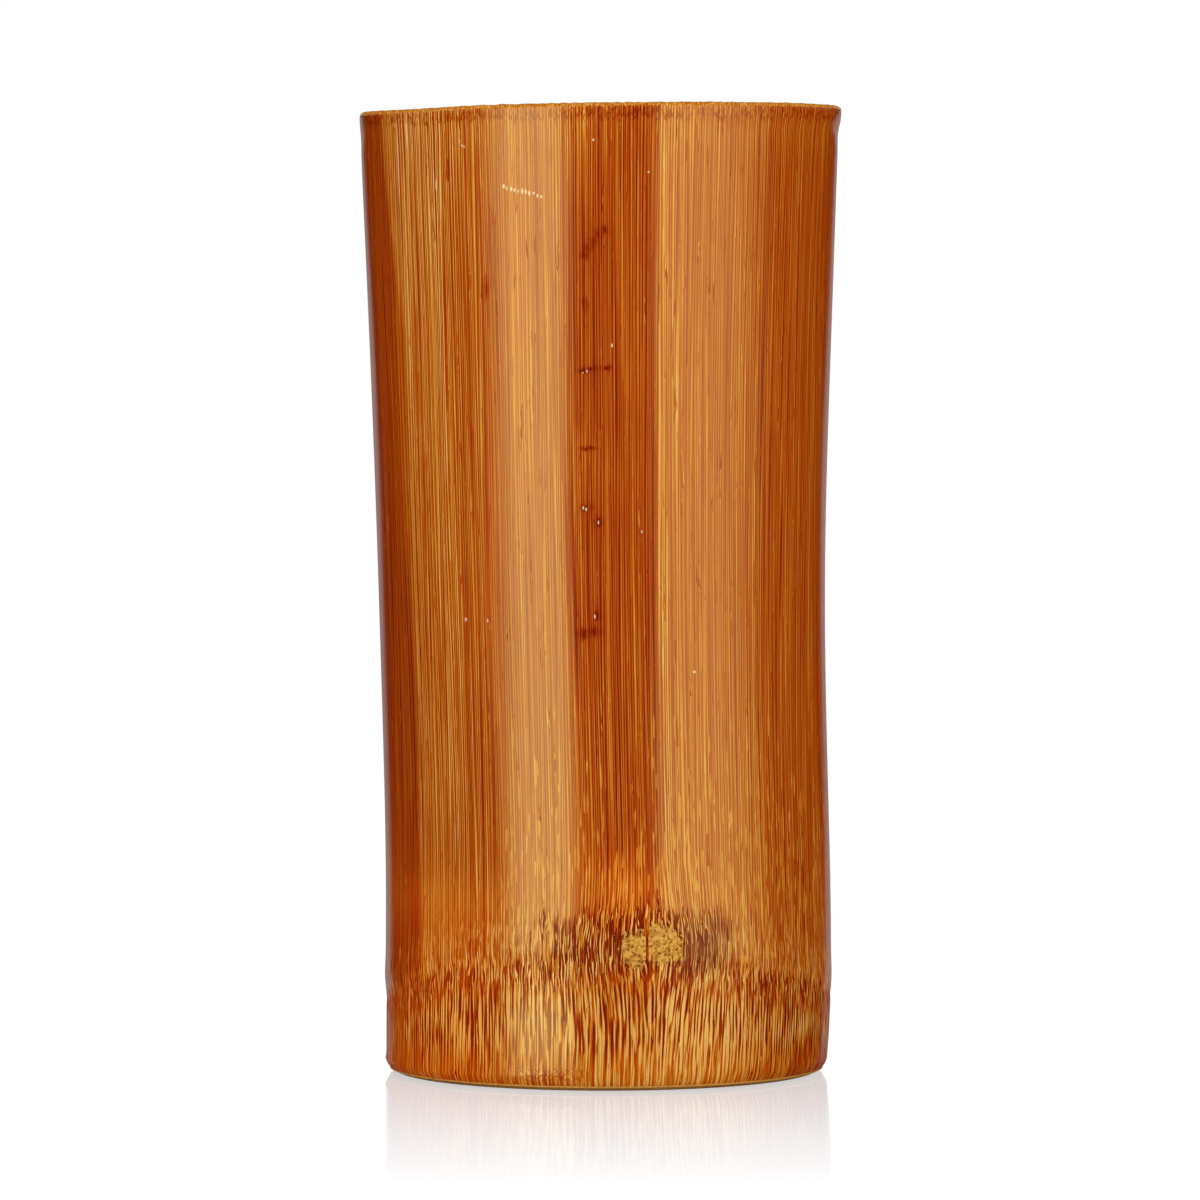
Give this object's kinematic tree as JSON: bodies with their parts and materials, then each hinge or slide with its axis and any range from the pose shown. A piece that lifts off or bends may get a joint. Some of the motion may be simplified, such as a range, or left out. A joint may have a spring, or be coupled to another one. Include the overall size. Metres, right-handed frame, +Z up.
{
  "type": "bamboo cup",
  "caption": "Tall tapering drinking cup made of a length of bamboo culm, with the node's septum as its floor, a stained and lacquered outside and sanded branch scars near the foot.",
  "frame": {"origin": "on the table, under the centre of the rim, which is the middle of the cup's outline from above", "axes": "+Z up along the culm, the branch scars face -Y, the rim's high side and the culm's crook are on +X"},
  "size_m": [0.075, 0.075, 0.15],
  "materials": {
    "culm_wall": "sanded, oiled end grain",
    "lacquered_skin": "stained amber brown under a satin lacquer",
    "pith_lining": "scraped, oiled pith side",
    "node_septum": "scraped, oiled septum",
    "branch_scar": "sanded branch end grain under lacquer"
  },
  "bodies": {
    "root": {"culm_wall": "culm_wall", "lacquered_skin": "lacquered_skin", "pith_lining": "pith_lining", "node_septum": "node_septum", "main_branch_scar": "branch_scar", "side_branch_scar": "branch_scar"}
  },
  "joints": []
}
